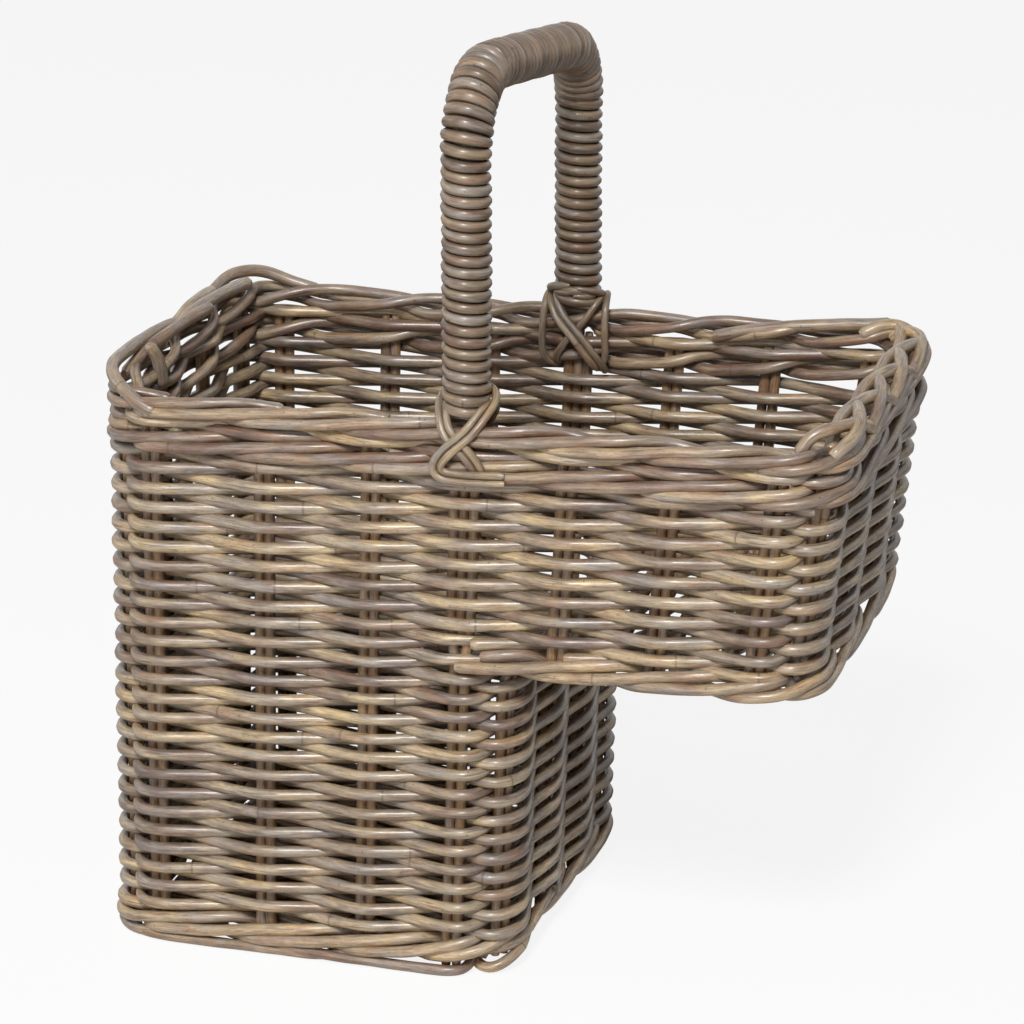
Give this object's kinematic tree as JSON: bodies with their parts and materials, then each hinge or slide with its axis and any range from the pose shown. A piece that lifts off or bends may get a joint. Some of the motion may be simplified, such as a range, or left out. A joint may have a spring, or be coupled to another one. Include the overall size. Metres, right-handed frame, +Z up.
{
  "type": "stair basket",
  "caption": "Woven rattan basket stepped to stand on two stair treads: a deep bin, a shelf tray one riser higher and a fixed wrapped handle across the middle.",
  "frame": {"origin": "centre of the bounding box at its base, on the lower tread", "axes": "+Z up, +X from the bin towards the shelf tray, Y across the stair's going direction, with the long front wall at -Y"},
  "size_m": [0.4476, 0.279, 0.5457],
  "materials": {
    "rattan_weaver": "satin, grey-washed kubu rattan rod",
    "rattan_stake": "satin, natural rattan rod",
    "rattan_border": "satin, grey-washed kubu rattan rod",
    "rattan_floor": "satin, natural rattan rod",
    "rattan_handle_core": "satin, stout rattan cane",
    "rattan_binding": "satin, grey-washed kubu rattan rod"
  },
  "bodies": {
    "root": {"back_lashing": "rattan_binding", "back_stake_1": "rattan_stake", "back_stake_2": "rattan_stake", "back_stake_3": "rattan_stake", "back_stake_4_a": "rattan_stake", "back_stake_4_b": "rattan_stake", "back_stake_5": "rattan_stake", "back_stake_6": "rattan_stake", "back_stake_7": "rattan_stake", "bin_end_stake_1": "rattan_stake", "bin_end_stake_2": "rattan_stake", "bin_end_stake_3": "rattan_stake", "bin_end_stake_4": "rattan_stake", "bin_floor_stick_1": "rattan_floor", "bin_floor_stick_2": "rattan_floor", "bin_floor_stick_3": "rattan_floor", "bin_floor_stick_4": "rattan_floor", "bin_floor_weaver": "rattan_floor", "bin_foot_wale_strand_1": "rattan_border", "bin_foot_wale_strand_2": "rattan_border", "bin_foot_wale_strand_3": "rattan_border", "bin_weaver_1_1": "rattan_weaver", "bin_weaver_1_2": "rattan_weaver", "bin_weaver_1_3": "rattan_weaver", "bin_weaver_2_1": "rattan_weaver", "bin_weaver_2_2": "rattan_weaver", "bin_weaver_2_3": "rattan_weaver", "front_lashing": "rattan_binding", "front_stake_1": "rattan_stake", "front_stake_2": "rattan_stake", "front_stake_3": "rattan_stake", "front_stake_4_a": "rattan_stake", "front_stake_4_b": "rattan_stake", "front_stake_5": "rattan_stake", "front_stake_6": "rattan_stake", "front_stake_7": "rattan_stake", "handle_binding": "rattan_binding", "handle_core": "rattan_handle_core", "lower_rim_wale_strand_1": "rattan_border", "lower_rim_wale_strand_2": "rattan_border", "lower_rim_wale_strand_3": "rattan_border", "rim_wale_strand_1": "rattan_border", "rim_wale_strand_2": "rattan_border", "rim_wale_strand_3": "rattan_border", "riser_shelf_end_stake_1": "rattan_stake", "riser_shelf_end_stake_2": "rattan_stake", "riser_shelf_end_stake_3": "rattan_stake", "riser_shelf_end_stake_4": "rattan_stake", "shelf_floor_weaver": "rattan_floor", "shelf_foot_wale_strand_1": "rattan_border", "shelf_foot_wale_strand_2": "rattan_border", "shelf_foot_wale_strand_3": "rattan_border", "step_weaver_1": "rattan_weaver", "step_weaver_2": "rattan_weaver", "step_weaver_3": "rattan_weaver", "upper_weaver_1_1": "rattan_weaver", "upper_weaver_1_2": "rattan_weaver", "upper_weaver_2_1": "rattan_weaver", "upper_weaver_2_2": "rattan_weaver"}
  },
  "joints": []
}
